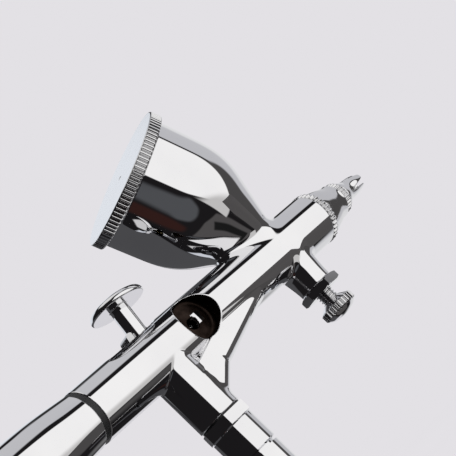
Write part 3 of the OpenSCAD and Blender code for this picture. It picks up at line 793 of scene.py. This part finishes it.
class Sky:
    """The studio's soft boxes, screens and dark room, as the object's polish sees them."""

    def __init__(self):
        world = bpy.data.worlds.new("studio")
        bpy.context.scene.world = world
        world.use_nodes = True
        self.nodes, self.links = world.node_tree.nodes, world.node_tree.links
        self.nodes.clear()
        coord = self.nodes.new("ShaderNodeTexCoord")
        self.ray = coord.outputs["Generated"]
        self.colour = None

    def product(self, a, b):
        node = self.nodes.new("ShaderNodeMath")
        node.operation = "MULTIPLY"
        self.links.new(a, node.inputs[0])
        self.links.new(b, node.inputs[1])
        return node.outputs["Value"]

    def dot(self, vector):
        node = self.nodes.new("ShaderNodeVectorMath")
        node.operation = "DOT_PRODUCT"
        node.inputs[1].default_value = vector
        self.links.new(self.ray, node.inputs[0])
        return node.outputs["Value"]

    def base(self, colour):
        node = self.nodes.new("ShaderNodeRGB")
        node.outputs[0].default_value = (*colour, 1)
        self.colour = node.outputs[0]

    def panel(self, corners, colour, edge=0.02, edges=None):
        """A flat panel seen from the object: its corners in order, as (azimuth, height).

        edge is how softly its border fades; edges gives it for each side on its own.
        """
        dirs = [toward(*c) for c in corners]
        middle = sum(dirs, Vector()).normalized()
        mask = None
        for i, a in enumerate(dirs):
            n = a.cross(dirs[(i + 1) % len(dirs)]).normalized()
            if n.dot(middle) < 0:
                n = -n
            soft_edge = edges[i] if edges else edge
            ramp = self.nodes.new("ShaderNodeMapRange")
            ramp.interpolation_type = "SMOOTHSTEP"
            ramp.inputs["From Min"].default_value = -soft_edge
            ramp.inputs["From Max"].default_value = soft_edge
            self.links.new(self.dot(n), ramp.inputs["Value"])
            side = ramp.outputs["Result"]
            mask = side if mask is None else self.product(mask, side)
        self.lay(mask, colour)

    def lay(self, mask, colour):
        mix = self.nodes.new("ShaderNodeMix")
        mix.data_type = "RGBA"
        mix.inputs["B"].default_value = (*colour, 1)
        self.links.new(mask, mix.inputs["Factor"])
        self.links.new(self.colour, mix.inputs["A"])
        self.colour = mix.outputs["Result"]

    def finish(self, backdrop):
        """Camera rays see the plain backdrop, every other ray the studio."""
        path = self.nodes.new("ShaderNodeLightPath")
        mix = self.nodes.new("ShaderNodeMix")
        mix.data_type = "RGBA"
        mix.inputs["B"].default_value = (*backdrop, 1)
        self.links.new(path.outputs["Is Camera Ray"], mix.inputs["Factor"])
        self.links.new(self.colour, mix.inputs["A"])
        ground = self.nodes.new("ShaderNodeBackground")
        self.links.new(mix.outputs["Result"], ground.inputs["Color"])
        out = self.nodes.new("ShaderNodeOutputWorld")
        self.links.new(ground.outputs["Background"], out.inputs["Surface"])


BACKDROP = (0.768, 0.752, 0.783)
DARK_ROOM = (0.012, 0.011, 0.012)
DIM_GROUND = (0.085, 0.08, 0.08)

sky = Sky()
sky.base(DARK_ROOM)
# dim ground, with a dark board lying on it
sky.panel([(-180, -60), (-120, -62), (-75, -56), (-30, -58), (30, -58), (90, -62)],
          DIM_GROUND, 0.03)
sky.panel([(-88, -67), (-32, -66), (-20, -76), (-100, -80)], (0.012, 0.012, 0.012), 0.03)
# the room behind the photographer: dim, with a slightly lighter screen
sky.panel([(-152, -36), (-141, -26), (-118, -21), (-104, -25), (-107, -40), (-124, -49),
           (-142, -48)], (0.085, 0.088, 0.095), 0.05)
sky.panel([(-178, -32), (-174, -48), (-160, -50), (-154, -30)], (0.035, 0.014, 0.012), 0.06)
# dim wall beyond the cup, and the bright one that the lid faces
sky.panel([(60, 7), (66, -50), (100, -58), (160, -45), (165, -15), (110, 3)],
          (0.076, 0.076, 0.081), 0.03)
sky.panel([(49, 10), (49, 42), (100, 50), (110, 6)], (0.80, 0.83, 0.88), 0.05)
# pale backdrop and overhead screen ahead of the gun
sky.panel([(-28, 22), (-24, -12), (2, -45), (30, -42), (50, -12), (50, 14), (46, 30),
           (34, 50), (-10, 66), (-40, 55)], (0.58, 0.58, 0.605), 0.02)
sky.panel([(14, 24), (16, -40), (34, -40), (50, -12), (50, 14)], (0.80, 0.80, 0.81), 0.10)
sky.panel([(32, 22), (48, 16), (47, 36), (34, 48)], (0.03, 0.03, 0.03), 0.03)
sky.panel([(-60, 50), (-30, 44), (25, 46), (60, 60), (110, 80), (-110, 80)],
          (0.60, 0.60, 0.62), 0.04)
# dark flag between the soft box and the backdrop
sky.panel([(-36, 12), (-38, -32), (-32, -52), (0, -52), (0, -14), (-16, 4)],
          (0.075, 0.072, 0.072), 0.05)
# pale table top far ahead, which the finger pad's underside mirrors
sky.panel([(49, -3), (50, -30), (54, -42), (66, -40), (63, 2)], (0.74, 0.73, 0.765), 0.03)
# ceiling
sky.panel([(-180, 62), (-120, 62), (-60, 62), (0, 62), (60, 62), (120, 62)],
          (0.82, 0.81, 0.80), 0.05)
# large soft box to the right of the gun, dimmer along its lower edge
sky.panel([(-103, -18), (-47, -59), (-33, -33), (-30, 14), (-42, 33), (-60, 43),
           (-100, 46), (-132, 10)], (1.04, 1.03, 1.02), 0.016)
sky.panel([(-103, -19), (-47, -60), (-33, -34), (-31, -20), (-70, -30)],
          (0.62, 0.61, 0.60), edges=[0.016, 0.016, 0.05, 0.11, 0.11])
sky.finish(BACKDROP)

# ground: a plain pale floor that the polish doesn't pick up
floor_mesh = bpy.data.meshes.new("studio_floor")
half, level = 3.0, -0.12  # metres
floor_mesh.from_pydata([(-half, -half, level), (half, -half, level), (half, half, level),
                        (-half, half, level)], [], [(0, 1, 2, 3)])
floor = bpy.data.objects.new("studio_floor", floor_mesh)
bpy.context.scene.collection.objects.link(floor)
floor_mat = bpy.data.materials.new("pale_floor")
floor_mat.use_nodes = True
floor_nodes, floor_links = floor_mat.node_tree.nodes, floor_mat.node_tree.links
floor_nodes.clear()
glow = floor_nodes.new("ShaderNodeEmission")
cloud = noise(floor_nodes, floor_links, 2.0, 2.0)
floor_links.new(tinted(floor_nodes, floor_links, cloud, tuple(c * 0.99 for c in BACKDROP),
                       tuple(c * 1.01 for c in BACKDROP)), glow.inputs["Color"])
floor_out = floor_nodes.new("ShaderNodeOutputMaterial")
floor_links.new(glow.outputs["Emission"], floor_out.inputs["Surface"])
paint(floor, floor_mat)
floor.visible_glossy = False
floor.visible_diffuse = False

# dark table edge below the nose, which shows only in the polish
flag_mesh = bpy.data.meshes.new("dark_flag")
drop, back, front, side = AXIS.z - 0.06, 0.082, 0.15, -0.08  # metres
flag_mesh.from_pydata([(back, side, drop), (front, side, drop), (front, 0, drop),
                       (back, 0, drop)], [], [(0, 1, 2, 3)])
flag = bpy.data.objects.new("dark_flag", flag_mesh)
bpy.context.scene.collection.objects.link(flag)
flag_mat, flag_nodes, flag_links, flag_shader = material("dark_flag")
flag_shader.inputs["Base Color"].default_value = (0, 0, 0, 1)
flag_shader.inputs["Roughness"].default_value = 1.0
flag_shader.inputs["Emission Strength"].default_value = 1.0
flag_links.new(tinted(flag_nodes, flag_links, noise(flag_nodes, flag_links, 30.0),
                      (0.07, 0.066, 0.066), (0.09, 0.085, 0.085)),
               flag_shader.inputs["Emission Color"])
paint(flag, flag_mat)
flag.visible_camera = False
flag.visible_shadow = False
flag.visible_diffuse = False

# camera: behind the gun, on its right hand side and slightly below, rolled
CAMERA_AT = Vector((-0.1997, -0.26307, AXIS.z - 0.03664))
CAMERA_LOOK, CAMERA_RIGHT = Vector((0.6633, 0.7365, 0.1324)), Vector((0.5746, -0.388, -0.7206))
camera_data = bpy.data.cameras.new("camera")
camera = bpy.data.objects.new("camera", camera_data)
bpy.context.scene.collection.objects.link(camera)
bpy.context.scene.camera = camera
camera_data.sensor_width = 36.0
camera_data.lens = 134.2
camera_data.clip_start = 0.01
camera_data.clip_end = 20.0
look = CAMERA_LOOK.normalized()
right = (CAMERA_RIGHT - look * CAMERA_RIGHT.dot(look)).normalized()
up = right.cross(look)
turn = Matrix((right, up, -look)).transposed().to_4x4()
camera.matrix_world = Matrix.Translation(CAMERA_AT) @ turn

bpy.context.scene.view_settings.view_transform = "Standard"
